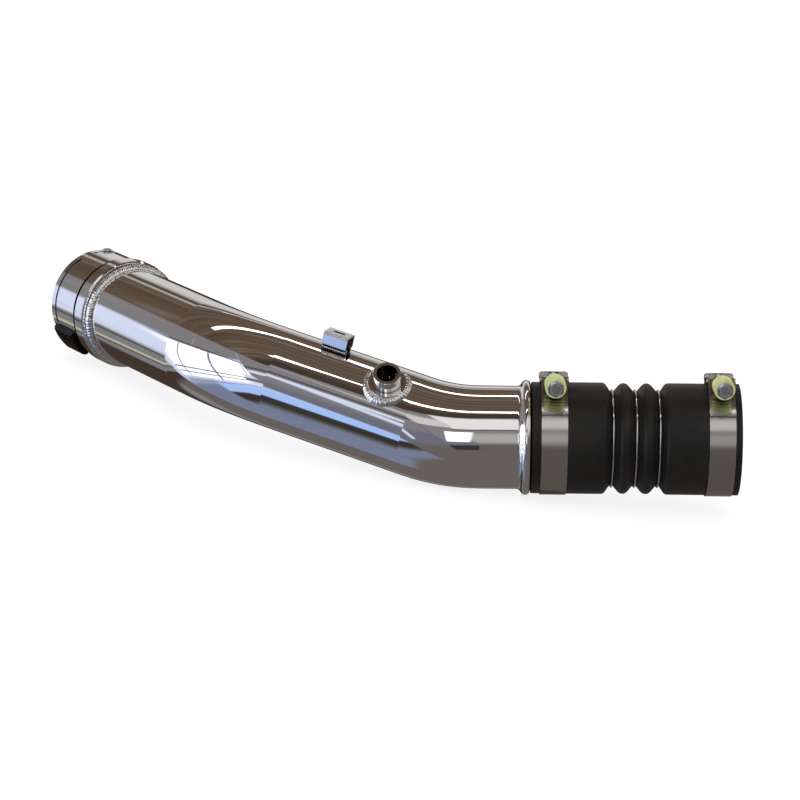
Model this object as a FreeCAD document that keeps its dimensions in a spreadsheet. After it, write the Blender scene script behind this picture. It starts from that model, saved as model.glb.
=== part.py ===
import FreeCAD, Part
import math
import os

import Sketcher

V = FreeCAD.Vector
Place = FreeCAD.Placement
Turn = FreeCAD.Rotation

# Driving sizes in millimetres and degrees
# The frame: origin at the centre of the hose's open end, the hose towards -X, +Z up as the pipe lies
SIZES = (
    ("tube_radius", 38.1, "outer radius of the bent tube"),
    ("tube_wall", 2.1, "wall of the bent tube"),
    ("bend_radius", 114.3, "centre line radius of both bends"),
    ("straight_right", 34.4, "bead centre to the first bend"),
    ("straight_middle", 111.9, "between the bends"),
    ("straight_left", 127.1, "second bend to the collar's near edge"),
    ("first_bend", 23.5, "turn of the bend beside the hose"),
    ("second_bend", 38.0, "turn of the bend beside the collar"),
    ("first_climb", 32.65, "roll of the first bend's plane about the hose axis"),
    ("bend_twist", 48.0, "turn of the second bend's plane about the middle leg"),
    ("rest_pitch", 5.74, "rise of the hose axis towards its open end, as the pipe lies"),
    ("bead_radius", 42.4, "outer radius of the rolled bead"),
    ("bead_crown", 3.4, "radius of the bead's crown"),
    ("bead_fillet", 3.0, "radius where the bead leaves the tube"),
    ("bead_heel", 0.5, "radius at the bead's foot on the hose's side"),
    ("stub_length", 45.0, "tube past the bead, inside the hose"),
    ("hose_length", 152.4, "whole hose"),
    ("hose_wall", 3.0, "hose wall"),
    ("hose_gap", 0.05, "bead's foot to the hose's end"),
    ("fit_gap", 0.05, "clearance of a snug fit"),
    ("hump_radius", 40.9, "outer radius over the humps"),
    ("hump_crown", 4.6, "radius of a hump's crown"),
    ("shoulder_crown", 3.6, "radius of the cuff's shoulder"),
    ("valley_fillet", 2.2, "radius of a valley's floor"),
    ("ring_pitch", 17.0, "distance between the hose rings"),
    ("ring_wire", 1.6, "wire of a hose ring"),
    ("ring_radius", 36.3, "outer radius of a hose ring"),
    ("inner_inset", 16.2, "hose's end at the bead to the first band's centre plane"),
    ("outer_inset", 14.4, "hose's open end to the second band's centre plane"),
    ("band_width", 19.1, "clamp band width"),
    ("band_gauge", 0.8, "clamp band thickness"),
    ("band_foot", 55.4, "angle from the bolt's foot to the folded end"),
    ("bolt_height", 45.0, "bolt axis above the hose axis"),
    ("bolt_lean", 6.4, "turn of both clamps towards the rear"),
    ("trunnion_offset", 8.5, "bolt's foot to each cross bar"),
    ("trunnion_radius", 2.4, "radius of a cross bar"),
    ("trunnion_proud", 1.2, "cross bar past the band's edge"),
    ("bolt_radius", 3.15, "T-bolt shank"),
    ("bolt_reach", 49.8, "bolt's foot to the threaded end"),
    ("barrel_radius", 4.2, "barrel that passes through the strap"),
    ("barrel_reach", 23.5, "bolt's foot to the spring seat"),
    ("seat_radius", 7.4, "spring seat"),
    ("seat_thickness", 1.2, "spring seat"),
    ("slot_gap", 1.0, "slot edge to the barrel beside it"),
    ("bolt_gap", 0.5, "slot edge to the shank that passes through"),
    ("slot_reach", 9.4, "barrel slot past the near bar"),
    ("slot_drop", 6.4, "barrel slot's far corner below the bolt axis"),
    ("bridge_span", 32.0, "half angle of the bridge under the gap"),
    ("spring_radius", 7.7, "outer radius of the clamp spring"),
    ("spring_wire", 2.6, "wire of the clamp spring"),
    ("spring_turns", 5.0, "turns of the clamp spring"),
    ("washer_thickness", 1.4, "washer under the nut"),
    ("nut_flats", 11.1, "lock nut across flats"),
    ("nut_height", 5.2, "hexagon of the lock nut"),
    ("nut_collar_radius", 4.7, "round collar of the lock nut"),
    ("nut_collar_height", 3.6, "round collar of the lock nut"),
    ("insert_radius", 4.0, "nylon insert of the lock nut"),
    ("insert_height", 2.2, "nylon insert of the lock nut"),
    ("bolt_proud", 0.4, "threaded end past the nut"),
    ("collar_radius", 43.3, "outer radius of the collar's flange beside the weld"),
    ("body_radius", 41.6, "outer radius of the collar's body"),
    ("collar_length", 58.8, "whole collar"),
    ("collar_edge", 1.0, "bevel of the near edge"),
    ("collar_nose", 3.0, "length of the far bevel"),
    ("rim_radius", 39.8, "outer radius at the far rim"),
    ("socket_depth", 16.0, "tube inside the collar"),
    ("stop_width", 4.0, "stop between the socket and the bore"),
    ("stop_radius", 36.4, "bore through the stop"),
    ("collar_bore", 38.5, "bore that takes the mating spigot"),
    ("groove_place", 15.4, "outer groove from the near edge"),
    ("groove_width", 5.8, "outer groove"),
    ("groove_depth", 1.4, "outer groove, below the body"),
    ("seal_place", 29.0, "seal's plane from the near edge"),
    ("seal_cord", 4.7, "seal section"),
    ("seal_squeeze", 1.9, "how far the seal stands into the bore"),
    ("clip_place", 48.7, "clip's plane from the near edge"),
    ("clip_wire", 2.2, "wire of the retaining clip"),
    ("clip_reach", 0.7, "how far the clip stands into the bore"),
    ("bow_start", 245.0, "where the clip's bow leaves the bore, about the collar"),
    ("bow_middle", 257.0, "middle of the bow's crown, about the collar"),
    ("bow_end", 276.0, "where the bow returns to the bore, about the collar"),
    ("bow_radius", 6.0, "radius of the bow's crown"),
    ("bow_reach", 43.3, "wire's centre line at the bow's crown, from the collar's axis"),
    ("window_width", 2.6, "clip window along the collar"),
    ("window_span", 81.0, "angle of one clip window"),
    ("window_land", 17.0, "angle of the land between windows"),
    ("window_start", 143.0, "first window's start, about the collar"),
    ("lock_angle", 124.5, "middle of the lock, about the collar"),
    ("lock_span", 30.0, "angle that the lock covers"),
    ("lock_length", 31.0, "lock along the collar"),
    ("lock_place", 20.6, "lock's near end from the collar's near edge"),
    ("lock_height", 4.4, "lock above the collar's body"),
    ("lock_bevel", 1.8, "bevel of the lock's outer edges"),
    ("leg_angle", 9.0, "each clip end from the lock's middle"),
    ("leg_height", 2.6, "clip end above the collar's body"),
    ("bung_place", 23.6, "bung from the middle leg's start"),
    ("bung_angle", 268.2, "bung about the middle leg"),
    ("bung_height", 50.8, "bung's face from the tube axis"),
    ("bung_radius", 10.6, "bung's neck"),
    ("bung_bevel", 0.5, "bevel of the bung's face"),
    ("flange_radius", 14.1, "bung's flange"),
    ("flange_height", 40.9, "flange's face from the tube axis"),
    ("bung_bore", 7.7, "bore of the sensor thread"),
    ("bung_weld_drop", 4.2, "radius of the drops round the bung"),
    ("bracket_place", 75.0, "bracket from the middle leg's start"),
    ("bracket_angle", 301.5, "bracket about the middle leg"),
    ("bracket_length", 19.5, "bracket along the tube"),
    ("bracket_depth", 15.0, "bracket across the tube"),
    ("bracket_top", 50.0, "bracket's top from the tube axis"),
    ("bracket_gauge", 1.5, "bracket's sheet"),
    ("bracket_wall", 9.2, "bracket's upper wall"),
    ("bracket_tuck", 3.0, "how far the walls tuck in"),
    ("bracket_bend", 2.4, "outer radius of the bracket's upper bends"),
    ("bracket_slot_length", 10.0, "slot in the bracket's top"),
    ("bracket_slot_width", 3.2, "slot in the bracket's top"),
    ("bracket_weld_drop", 1.0, "radius of the drops along the bracket's feet"),
    ("weld_pitch", 2.0, "ripple pitch of every weld"),
)

doc = FreeCAD.newDocument("IntercoolerPipe")
sheet = doc.addObject("Spreadsheet::Sheet", "Sizes")
for row, (alias, value, note) in enumerate(SIZES, 1):
    sheet.set(f"A{row}", note)
    sheet.set(f"B{row}", str(value))
    sheet.setAlias(f"B{row}", alias)
doc.recompute()

nodes = []


def size(alias):
    return float(sheet.get(alias))


def bind(item, **expressions):
    """Ties an object's properties to the sheet's cells."""
    for name, expression in expressions.items():
        item.setExpression(name, expression)
    return item


def primitive(kind, name, place=None, **expressions):
    item = bind(doc.addObject(kind, name), **expressions)
    if place is not None:
        item.Placement = place
    return item


def join(kind, name, pieces):
    """A fuse of many pieces, or a cut of the first by the second."""
    item = doc.addObject(kind, name)
    if kind == "Part::Cut":
        item.Base, item.Tool = pieces
    else:
        item.Shapes = pieces
    return item


def shaped(name, shape):
    item = doc.addObject("Part::Feature", name)
    item.Shape = shape
    return item


def keep(item, label, place=None):
    """Names a finished sub-part and puts it in its place."""
    item.Label = label
    if place is not None:
        item.Placement = place.multiply(item.Placement)
    nodes.append(item)
    return item


# Paths of arcs joined by tangent lines
def tangent(first, second):
    """Points where a line touches two circles given as (centre, signed radius), anticlockwise positive."""
    (c1, r1), (c2, r2) = first, second
    span = c2 - c1
    lean = math.atan2(span.y, span.x) - math.asin((r2 - r1) / span.Length) + math.pi / 2
    normal = V(math.cos(lean), math.sin(lean), 0)
    return c1 - normal * r1, c2 - normal * r2


def arc_edge(centre, radius, start, end):
    """Arc from one point to another about a centre, anticlockwise where the radius is positive."""
    a = math.atan2(start.y - centre.y, start.x - centre.x)
    b = math.atan2(end.y - centre.y, end.x - centre.x)
    full = 2 * math.pi
    sweep = (b - a) % full if radius > 0 else -((a - b) % full)
    middle = a + sweep / 2
    through = centre + V(math.cos(middle), math.sin(middle), 0) * abs(radius)
    return Part.Arc(start, through, end).toShape()


def rounded_path(circles, start=None, end=None):
    """Edges along circles and the lines that touch them. A circle of radius zero is a corner."""
    touches = [tangent(a, b) for a, b in zip(circles, circles[1:])]
    entries = [start or circles[0][0]] + [leave[1] for leave in touches]
    exits = [leave[0] for leave in touches] + [end or circles[-1][0]]
    edges = []
    for index, (centre, radius) in enumerate(circles):
        if abs(radius) > 1e-9:
            edges.append(arc_edge(centre, radius, entries[index], exits[index]))
        if index < len(touches):
            edges.append(Part.LineSegment(*touches[index]).toShape())
    return edges


def closed_face(edges):
    return Part.Face(Part.Wire(Part.__sortEdges__(edges)))


def on_circle(centre, radius, degrees):
    return centre + V(math.cos(math.radians(degrees)), math.sin(math.radians(degrees)), 0) * abs(radius)


# Places along the pipe
def forward(place, distance):
    return place.multiply(Place(V(0, 0, distance), Turn()))


def roll(place, degrees):
    return place.multiply(Place(V(), Turn(V(0, 0, 1), degrees)))


def bend(place, radius, degrees):
    """Past a bend towards the place's own X axis."""
    centre = place.multiply(Place(V(radius, 0, 0), Turn(V(0, 1, 0), degrees)))
    return centre.multiply(Place(V(-radius, 0, 0), Turn()))


def radial(place, distance, degrees, height=0):
    """A place on a leg whose own Z axis points away from the tube, X along the leg."""
    out = roll(forward(place, distance), degrees)
    return out.multiply(Place(V(height, 0, 0), Turn(V(0, 0, 1), V(0, 1, 0), V(1, 0, 0), "ZXY")))


# Own X runs out of the hose along its axis, which rises a little as the pipe lies
at_hose = Place(V(), Turn(V(0, 1, 0), -size("rest_pitch")))
bead_x = -(size("hose_length") + size("hose_gap") + size("bead_crown") + size("bead_heel"))
# Own Z runs to the left along the pipe, own X points to the rear
at_bead = at_hose.multiply(Place(V(bead_x, 0, 0), Turn(V(0, 1, 0), V(0, 0, -1), V(-1, 0, 0), "ZXY")))
at_first = roll(forward(at_bead, size("straight_right")), -size("first_climb"))
at_middle = bend(at_first, size("bend_radius"), size("first_bend"))
at_second = roll(forward(at_middle, size("straight_middle")), size("bend_twist"))
at_left = bend(at_second, size("bend_radius"), size("second_bend"))
at_collar = forward(at_left, size("straight_left"))


# Charge pipe
def bend_solid(place, radius, degrees):
    """A round bar bent towards the place's own X axis."""
    disc = Part.Face(Part.Wire(Part.Circle(V(), V(0, 0, 1), radius).toShape()))
    bar = disc.revolve(V(size("bend_radius"), 0, 0), V(0, 1, 0), degrees)
    bar.Placement = place
    return bar


def straight_solid(place, radius, length, back=0.0):
    bar = Part.makeCylinder(radius, length + back, V(0, 0, -back))
    bar.Placement = place
    return bar


def pipe_run(radius):
    """Everything from the bead to the tube's end in the collar, as one solid bar."""
    pieces = [
        straight_solid(at_bead, radius, size("straight_right")),
        bend_solid(at_first, radius, size("first_bend")),
        straight_solid(at_middle, radius, size("straight_middle")),
        bend_solid(at_second, radius, size("second_bend")),
        straight_solid(at_left, radius, size("straight_left") + size("socket_depth")),
    ]
    return pieces[0].multiFuse(pieces[1:])


def bead_edges(inset):
    """Half outline of the bead and the stub, moved in from the outer surface by the inset."""
    tube = size("tube_radius") - inset
    crown, fillet, heel = size("bead_crown"), size("bead_fillet"), size("bead_heel")
    foot = crown + fillet
    circles = [
        (V(-size("stub_length"), tube, 0), 0),
        (V(-crown - heel, size("tube_radius") + heel, 0), heel + inset),
        (V(0, size("bead_radius") - crown, 0), inset - crown),
        (V(foot, size("tube_radius") + fillet, 0), fillet + inset),
        (V(foot + 1, tube, 0), 0),
    ]
    return rounded_path(circles)


def bead_solid():
    """The stub, the bead and its hollow, turned about the right leg's axis."""
    outer, inner = bead_edges(0), bead_edges(size("tube_wall"))
    far = size("bead_crown") + size("bead_fillet") + 1
    ends = []
    for x in (-size("stub_length"), far):
        low, high = size("tube_radius") - size("tube_wall"), size("tube_radius")
        ends.append(Part.LineSegment(V(x, low, 0), V(x, high, 0)).toShape())
    solid = closed_face(outer + inner + ends).revolve(V(), V(1, 0, 0), 360)
    solid.Placement = at_bead.multiply(Place(V(), Turn(V(0, 1, 0), -90)))
    return solid


def charge_pipe():
    bore = size("tube_radius") - size("tube_wall")
    foot = size("bead_crown") + size("bead_fillet")
    run = pipe_run(size("tube_radius")).cut(pipe_run(bore))
    run = run.cut(straight_solid(at_bead, size("bead_radius"), foot))
    drilled = Part.makeCylinder(size("bung_bore"), size("bung_height"))
    drilled.Placement = radial(at_middle, size("bung_place"), size("bung_angle"))
    shape = run.fuse(bead_solid()).cut(drilled).removeSplitter()
    keep(shaped("ChargePipe", shape), "charge_pipe")


# Welds, each a chain of overlapping drops laid along its seam by hand
def unevenness(index):
    """A hand-laid drop's deviation, between -1 and 1, which doesn't repeat along a seam."""
    return 0.6 * math.sin(2.3 * index) + 0.4 * math.sin(5.1 * index + 1)


def weld_chain(centres, radius, cutters):
    drops = []
    for index, centre in enumerate(centres):
        drops.append(Part.makeSphere(radius * (1 + 0.04 * unevenness(index)), centre))
    chain = drops[0].multiFuse(drops[1:])
    for cutter in cutters:
        chain = chain.cut(cutter)
    return chain


def round_the_seam(radius, height):
    """Centres of the drops round a seam, a little uneven in pitch."""
    count = seam_count(radius)
    turns = [360.0 * (index + 0.16 * unevenness(3 * index)) / count for index in range(count)]
    return [on_circle(V(0, 0, height), radius, turn) for turn in turns]


def seam_count(radius):
    return int(round(2 * math.pi * radius / size("weld_pitch")))


def collar_weld():
    gap = size("fit_gap")
    rise = size("collar_radius") - size("collar_edge") - size("tube_radius")
    drop = rise * 0.93
    seam = size("tube_radius") - rise * 0.12
    height = -drop * 0.92
    tube = Part.makeCylinder(size("tube_radius") + gap, 60, V(0, 0, -50))
    block = Part.makeCylinder(size("collar_radius") + 10, 30, V(0, 0, -gap))
    chain = weld_chain(round_the_seam(seam, height), drop, [tube, block])
    keep(shaped("CollarWeld", chain), "collar_weld_bead", at_collar)


def bung_weld():
    gap = size("fit_gap")
    drop = size("bung_weld_drop")
    centres = round_the_seam(size("flange_radius"), 0)
    for centre in centres:
        centre.z = math.sqrt(size("tube_radius") ** 2 - centre.y ** 2) - drop / 3
    tube = Part.makeCylinder(size("tube_radius") + gap, 80, V(-40, 0, 0), V(1, 0, 0))
    flange = Part.makeCylinder(size("flange_radius") + gap, 60)
    chain = weld_chain(centres, drop, [tube, flange])
    place = radial(at_middle, size("bung_place"), size("bung_angle"))
    keep(shaped("BungWeld", chain), "bung_weld_bead", place)


# Quick-connect collar
def profile_sketch(body, name, corners):
    """A closed outline on the body's XZ plane whose corners are bound to the sheet."""
    sketch = body.newObject("Sketcher::SketchObject", name)
    plane = next(f for f in body.Origin.OriginFeatures if f.Role == "XZ_Plane")
    sketch.AttachmentSupport = [(plane, "")]
    sketch.MapMode = "FlatFace"
    points = [V(float(sketch.evalExpression(x)), float(sketch.evalExpression(y)), 0) for x, y in corners]
    count = len(points)
    for index in range(count):
        sketch.addGeometry(Part.LineSegment(points[index], points[(index + 1) % count]), False)
    for index in range(count):
        sketch.addConstraint(Sketcher.Constraint("Coincident", index, 2, (index + 1) % count, 1))
    for index, (x, y) in enumerate(corners):
        bound = (("DistanceX", x, points[index].x), ("DistanceY", y, points[index].y))
        for kind, expression, number in bound:
            row = sketch.addConstraint(Sketcher.Constraint(kind, -1, 1, index, 1, number))
            sketch.setExpression(f"Constraints[{row}]", expression)
    return sketch


def turned(body, name, kind, corners, axis="V_Axis"):
    """A revolution or a groove of a bound outline about the body's own axis."""
    sketch = profile_sketch(body, name + "Outline", corners)
    feature = body.newObject(kind, name)
    feature.Profile = sketch
    feature.ReferenceAxis = (sketch, [axis])
    feature.Angle = 360
    return feature


def collar():
    body = doc.addObject("PartDesign::Body", "Collar")
    outer, body_side, nose = "Sizes.collar_radius", "Sizes.body_radius", "Sizes.collar_length"
    bore, stop = "Sizes.collar_bore", "Sizes.stop_radius"
    socket = "Sizes.tube_radius + Sizes.fit_gap"
    socket_end = "Sizes.socket_depth + Sizes.fit_gap"
    step = "Sizes.groove_place - Sizes.groove_width / 2"
    corners = (
        (socket, "0"),
        (f"{outer} - Sizes.collar_edge", "0"),
        (outer, "Sizes.collar_edge"),
        (outer, step),
        (body_side, step),
        (body_side, f"{nose} - Sizes.collar_nose"),
        ("Sizes.rim_radius", nose),
        (bore, nose),
        (bore, f"{socket_end} + Sizes.stop_width"),
        (stop, f"{socket_end} + Sizes.stop_width"),
        (stop, socket_end),
        (socket, socket_end),
    )
    turned(body, "CollarTurned", "PartDesign::Revolution", corners)
    doc.recompute()
    in_bore = f"{bore} - 1"
    seal_floor = f"{bore} - Sizes.seal_squeeze + Sizes.seal_cord + Sizes.fit_gap"
    clip_floor = f"{bore} - Sizes.clip_reach + Sizes.clip_wire + 0.3"
    grooves = (
        ("OuterGroove", f"{body_side} - Sizes.groove_depth", f"{outer} + 1",
         "Sizes.groove_place", "Sizes.groove_width"),
        ("SealGroove", in_bore, seal_floor, "Sizes.seal_place", "Sizes.seal_cord + 0.6"),
        ("ClipGroove", in_bore, clip_floor, "Sizes.clip_place", "Sizes.window_width"),
    )
    for name, near, far, place, width in grooves:
        low, high = f"{place} - ({width}) / 2", f"{place} + ({width}) / 2"
        turned(body, name, "PartDesign::Groove", ((near, low), (far, low), (far, high), (near, high)))
        doc.recompute()
    cuts = [window(index) for index in range(3)] + [leg_hole(side) for side in (-1, 1)]
    windows = join("Part::MultiFuse", "ClipWindows", cuts)
    keep(join("Part::Cut", "CollarCut", [body, windows]), "quick_connect_collar", at_collar)


def window(index):
    """A sector of a ring that opens the clip groove to the outside."""
    start = size("window_start") + index * (size("window_span") + size("window_land"))
    ring = primitive("Part::Cylinder", f"Window{index}", Place(V(0, 0, 0), Turn(V(0, 0, 1), start)),
                     Radius="Sizes.collar_radius + 2", Height="Sizes.window_width",
                     Angle="Sizes.window_span")
    core = primitive("Part::Cylinder", f"WindowCore{index}",
                     Radius="Sizes.collar_bore + 1", Height="Sizes.window_width")
    for item in (ring, core):
        item.setExpression("Placement.Base.z", "Sizes.clip_place - Sizes.window_width / 2")
    return join("Part::Cut", f"WindowSector{index}", [ring, core])


def leg_hole(side):
    angle = size("lock_angle") + side * size("leg_angle")
    hole = primitive("Part::Cylinder", "LegHoleNear" if side < 0 else "LegHoleFar",
                     Place(V(0, 0, size("clip_place")), Turn(V(0, 0, 1), on_circle(V(), 1, angle))),
                     Radius="Sizes.clip_wire / 2 + 0.2", Height="Sizes.collar_radius + 2")
    return hole


def seal_ring():
    seal = primitive("Part::Torus", "Seal", Place(V(0, 0, size("seal_place")), Turn()),
                     Radius1="Sizes.collar_bore - Sizes.seal_squeeze + Sizes.seal_cord / 2",
                     Radius2="Sizes.seal_cord / 2")
    keep(seal, "collar_seal_ring", at_collar)


def clip_path(radius):
    """The wire's centre line: round the bore, with a bow that stands out of one window."""
    first = size("lock_angle") + size("leg_angle")
    last = size("lock_angle") - size("leg_angle") + 360
    turn, clear = size("clip_wire"), 0.2
    crown = on_circle(V(), size("bow_reach") - size("bow_radius"), size("bow_middle"))
    circles = [
        (V(), radius),
        (on_circle(V(), radius + turn + clear, size("bow_start")), -turn),
        (crown, size("bow_radius")),
        (on_circle(V(), radius + 2 * turn + clear, size("bow_end")), -2 * turn),
        (V(), radius),
    ]
    return rounded_path(circles, on_circle(V(), radius, first), on_circle(V(), radius, last))


def retaining_clip():
    """A wire ring whose two ends turn outwards into the lock."""
    wire = size("clip_wire") / 2
    radius = size("collar_bore") - size("clip_reach") + wire
    path = clip_path(radius)
    pieces = []
    for angle in (size("lock_angle") + size("leg_angle"), size("lock_angle") - size("leg_angle")):
        inner = on_circle(V(), radius, angle)
        outward = on_circle(V(), 1, angle)
        reach = size("body_radius") + size("leg_height") - radius
        pieces.append(Part.makeCylinder(wire, reach, inner, outward))
        pieces.append(Part.makeSphere(wire, inner))
    start = path[0].Vertexes[0].Point
    along = path[0].tangentAt(path[0].FirstParameter)
    profile = Part.Wire(Part.Circle(start, along, wire).toShape())
    ring = Part.Wire(path).makePipeShell([profile], True, False)
    shape = ring.multiFuse(pieces)
    shape.translate(V(0, 0, size("clip_place")))
    keep(shaped("RetainingClip", shape), "retaining_clip", at_collar)


def clip_lock():
    """A curved block over the clip's ends, hollowed to the collar and bevelled outside."""
    outer = size("body_radius") + size("lock_height")
    sector = primitive("Part::Cylinder", "LockSector", Place(V(), Turn(V(0, 0, 1), -size("lock_span") / 2)),
                       Radius="Sizes.body_radius + Sizes.lock_height", Height="Sizes.lock_length",
                       Angle="Sizes.lock_span")
    sector.setExpression("Placement.Base.z", "Sizes.lock_place")
    doc.recompute()
    bevel = doc.addObject("Part::Chamfer", "LockBevel")
    bevel.Base = sector
    edges = []
    for number, edge in enumerate(sector.Shape.Edges, 1):
        if all(math.hypot(point.X, point.Y) > outer - 0.01 for point in edge.Vertexes):
            edges.append((number, size("lock_bevel"), size("lock_bevel")))
    bevel.Edges = edges
    hollow = primitive("Part::Cylinder", "LockHollow", Radius="Sizes.body_radius + Sizes.fit_gap",
                       Height="Sizes.collar_length + 20")
    holes = [hollow]
    for side in (-1, 1):
        angle = side * size("leg_angle")
        place = Place(V(0, 0, size("clip_place")), Turn(V(0, 0, 1), on_circle(V(), 1, angle)))
        holes.append(primitive("Part::Cylinder", f"LockHole{'A' if side < 0 else 'B'}", place,
                               Radius="Sizes.clip_wire / 2 + Sizes.fit_gap",
                               Height="Sizes.body_radius + Sizes.leg_height + Sizes.fit_gap"))
    tool = join("Part::MultiFuse", "LockTool", holes)
    lock = join("Part::Cut", "Lock", [bevel, tool])
    keep(lock, "clip_lock", roll(at_collar, size("lock_angle")))


# Sensor bung
def bung():
    neck = primitive("Part::Cylinder", "BungNeck", Radius="Sizes.bung_radius", Height="Sizes.bung_height")
    doc.recompute()
    bevel = doc.addObject("Part::Chamfer", "BungBevel")
    bevel.Base = neck
    top = [n for n, e in enumerate(neck.Shape.Edges, 1) if e.BoundBox.ZMin > size("bung_height") - 0.01]
    bevel.Edges = [(n, size("bung_bevel"), size("bung_bevel")) for n in top]
    flange = primitive("Part::Cylinder", "BungFlange", Radius="Sizes.flange_radius",
                       Height="Sizes.flange_height")
    bore = primitive("Part::Cylinder", "BungBore", Radius="Sizes.bung_bore", Height="Sizes.bung_height + 1")
    saddle = primitive("Part::Cylinder", "BungSaddle", Place(V(-40, 0, 0), Turn(V(0, 0, 1), V(1, 0, 0))),
                       Radius="Sizes.tube_radius + Sizes.fit_gap", Height="80")
    solid = join("Part::MultiFuse", "BungSolid", [bevel, flange])
    tool = join("Part::MultiFuse", "BungTool", [bore, saddle])
    keep(join("Part::Cut", "Bung", [solid, tool]), "sensor_bung",
         radial(at_middle, size("bung_place"), size("bung_angle")))


# Mounting bracket
def strip_face(points, gauge):
    """Face of a folded strip whose outer face follows the points, the sheet to their right."""
    inner = []
    for index, point in enumerate(points):
        before = points[max(index - 1, 0)]
        after = points[min(index + 1, len(points) - 1)]
        first = (point - before) if index else (after - point)
        second = (after - point) if index < len(points) - 1 else (point - before)
        first.normalize()
        second.normalize()
        normal = V(first.y + second.y, -(first.x + second.x), 0)
        normal.normalize()
        across = V(first.y, -first.x, 0)
        inner.append(point + normal * (gauge / normal.dot(across)))
    outline = points + inner[::-1]
    return Part.Face(Part.makePolygon(outline + outline[:1]))


def bracket_outline():
    """The bracket's outer line across the tube: one foot, the top and the other foot."""
    half = size("bracket_depth") / 2
    top = size("bracket_top")
    waist = top - size("bracket_wall")
    tuck = half - size("bracket_tuck")
    foot = math.sqrt(size("tube_radius") ** 2 - tuck ** 2)
    left = [
        V(-tuck, foot - 2, 0),
        V(-tuck, foot + 1.2, 0),
        V(-half, waist, 0),
        V(-half, top, 0),
    ]
    return left + [V(-point.x, point.y, 0) for point in reversed(left)]


def bracket_slot():
    length, width, top = size("bracket_slot_length"), size("bracket_slot_width"), size("bracket_top")
    straight = length - width
    slot = Part.makeBox(straight, width, 6, V(-straight / 2, -width / 2, top - 3))
    for end in (-1, 1):
        slot = slot.fuse(Part.makeCylinder(width / 2, 6, V(end * straight / 2, 0, top - 3)))
    return slot


def bracket():
    top, length = size("bracket_top"), size("bracket_length")
    solid = strip_face(bracket_outline(), size("bracket_gauge")).extrude(V(0, 0, length))
    corners = []
    for edge in solid.Edges:
        if abs(edge.BoundBox.YMin - top) < 0.01 and edge.BoundBox.ZLength > length - 0.01:
            corners.append(edge)
    solid = solid.makeFillet(size("bracket_bend"), corners)
    # The outline's own axes are across, up and along: turned to along, across and up
    solid.Placement = Place(V(-length / 2, 0, 0), Turn(V(0, 1, 0), V(0, 0, 1), V(1, 0, 0), "ZXY"))
    tube = Part.makeCylinder(size("tube_radius") + size("fit_gap"), 80, V(-40, 0, 0), V(1, 0, 0))
    shape = solid.cut(bracket_slot()).cut(tube)
    place = radial(at_middle, size("bracket_place"), size("bracket_angle"))
    keep(shaped("Bracket", shape), "mounting_bracket", place)
    keep(shaped("BracketWelds", bracket_welds([tube, shape])), "bracket_weld_beads", place)


def bracket_welds(cutters):
    """A row of drops along each foot."""
    drop, length = size("bracket_weld_drop"), size("bracket_length")
    y = size("bracket_depth") / 2 - size("bracket_tuck") + 0.5 * drop
    z = math.sqrt(size("tube_radius") ** 2 - y ** 2)
    count = int(length / (0.8 * size("weld_pitch")))
    step = (length - 2 * drop) / (count - 1)
    rows = []
    for side in (-1, 1):
        centres = [V(drop - length / 2 + index * step, side * y, z) for index in range(count)]
        rows.append(weld_chain(centres, drop, cutters))
    return Part.makeCompound(rows)


# Hump hose and its rings
def hose_edges(inset):
    """Outer outline of the hose, or the inner one where it is inset by the wall."""
    cuff = size("tube_radius") + size("fit_gap") + size("hose_wall") - inset
    middle, end = -size("hose_length") / 2, -size("hose_length")
    pitch = size("ring_pitch")
    valley = size("ring_radius") - size("ring_wire") - size("fit_gap")
    floor = valley + size("valley_fillet")
    hump = size("hump_radius") - size("hump_crown")
    crown = size("shoulder_crown")
    shoulder = cuff + inset - crown
    step = pitch / 2 - (size("hump_crown") - crown)
    circles = [(V(end, cuff, 0), 0)]
    circles.append((V(middle - pitch - step, shoulder, 0), -(crown - inset)))
    for index in (-1, 0, 1):
        circles.append((V(middle + index * pitch, floor, 0), size("valley_fillet") + inset))
        if index < 1:
            circles.append((V(middle + (index + 0.5) * pitch, hump, 0), -(size("hump_crown") - inset)))
    circles.append((V(middle + pitch + step, shoulder, 0), -(crown - inset)))
    circles.append((V(0, cuff, 0), 0))
    return rounded_path(circles)


def hump_hose():
    bore = size("tube_radius") + size("fit_gap")
    ends = []
    for x in (-size("hose_length"), 0):
        ends.append(Part.LineSegment(V(x, bore, 0), V(x, bore + size("hose_wall"), 0)).toShape())
    face = closed_face(hose_edges(0) + hose_edges(size("hose_wall")) + ends)
    hose = face.revolve(V(), V(1, 0, 0), 360)
    # The bridges press their own thickness into the rubber
    for place in clamp_places():
        hose = hose.cut(bridge_print(place))
    keep(shaped("Hose", hose), "hump_hose", at_hose)
    for index in (-1, 0, 1):
        place = Place(V(index * size("ring_pitch") - size("hose_length") / 2, 0, 0), Turn(V(0, 1, 0), 90))
        ring = primitive("Part::Torus", f"HoseRing{index + 2}", place,
                         Radius1="Sizes.ring_radius - Sizes.ring_wire / 2", Radius2="Sizes.ring_wire / 2")
        keep(ring, f"hose_ring_{index + 2}", at_hose)


# T-bolt clamps, in their own frame: X along the hose, Z through the bolt's foot, the nut towards -Y
def clamp_places():
    lean = Turn(V(1, 0, 0), -size("bolt_lean"))
    planes = (size("inner_inset") - size("hose_length"), -size("outer_inset"))
    return [Place(V(x, 0, 0), lean) for x in planes]


def across_hose(place):
    """A place whose own X and Y lie across the hose, for a flat outline."""
    return place.multiply(Place(V(), Turn(V(0, 1, 0), V(0, 0, 1), V(1, 0, 0), "ZXY")))


def hose_surface():
    return size("tube_radius") + size("fit_gap") + size("hose_wall")


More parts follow.
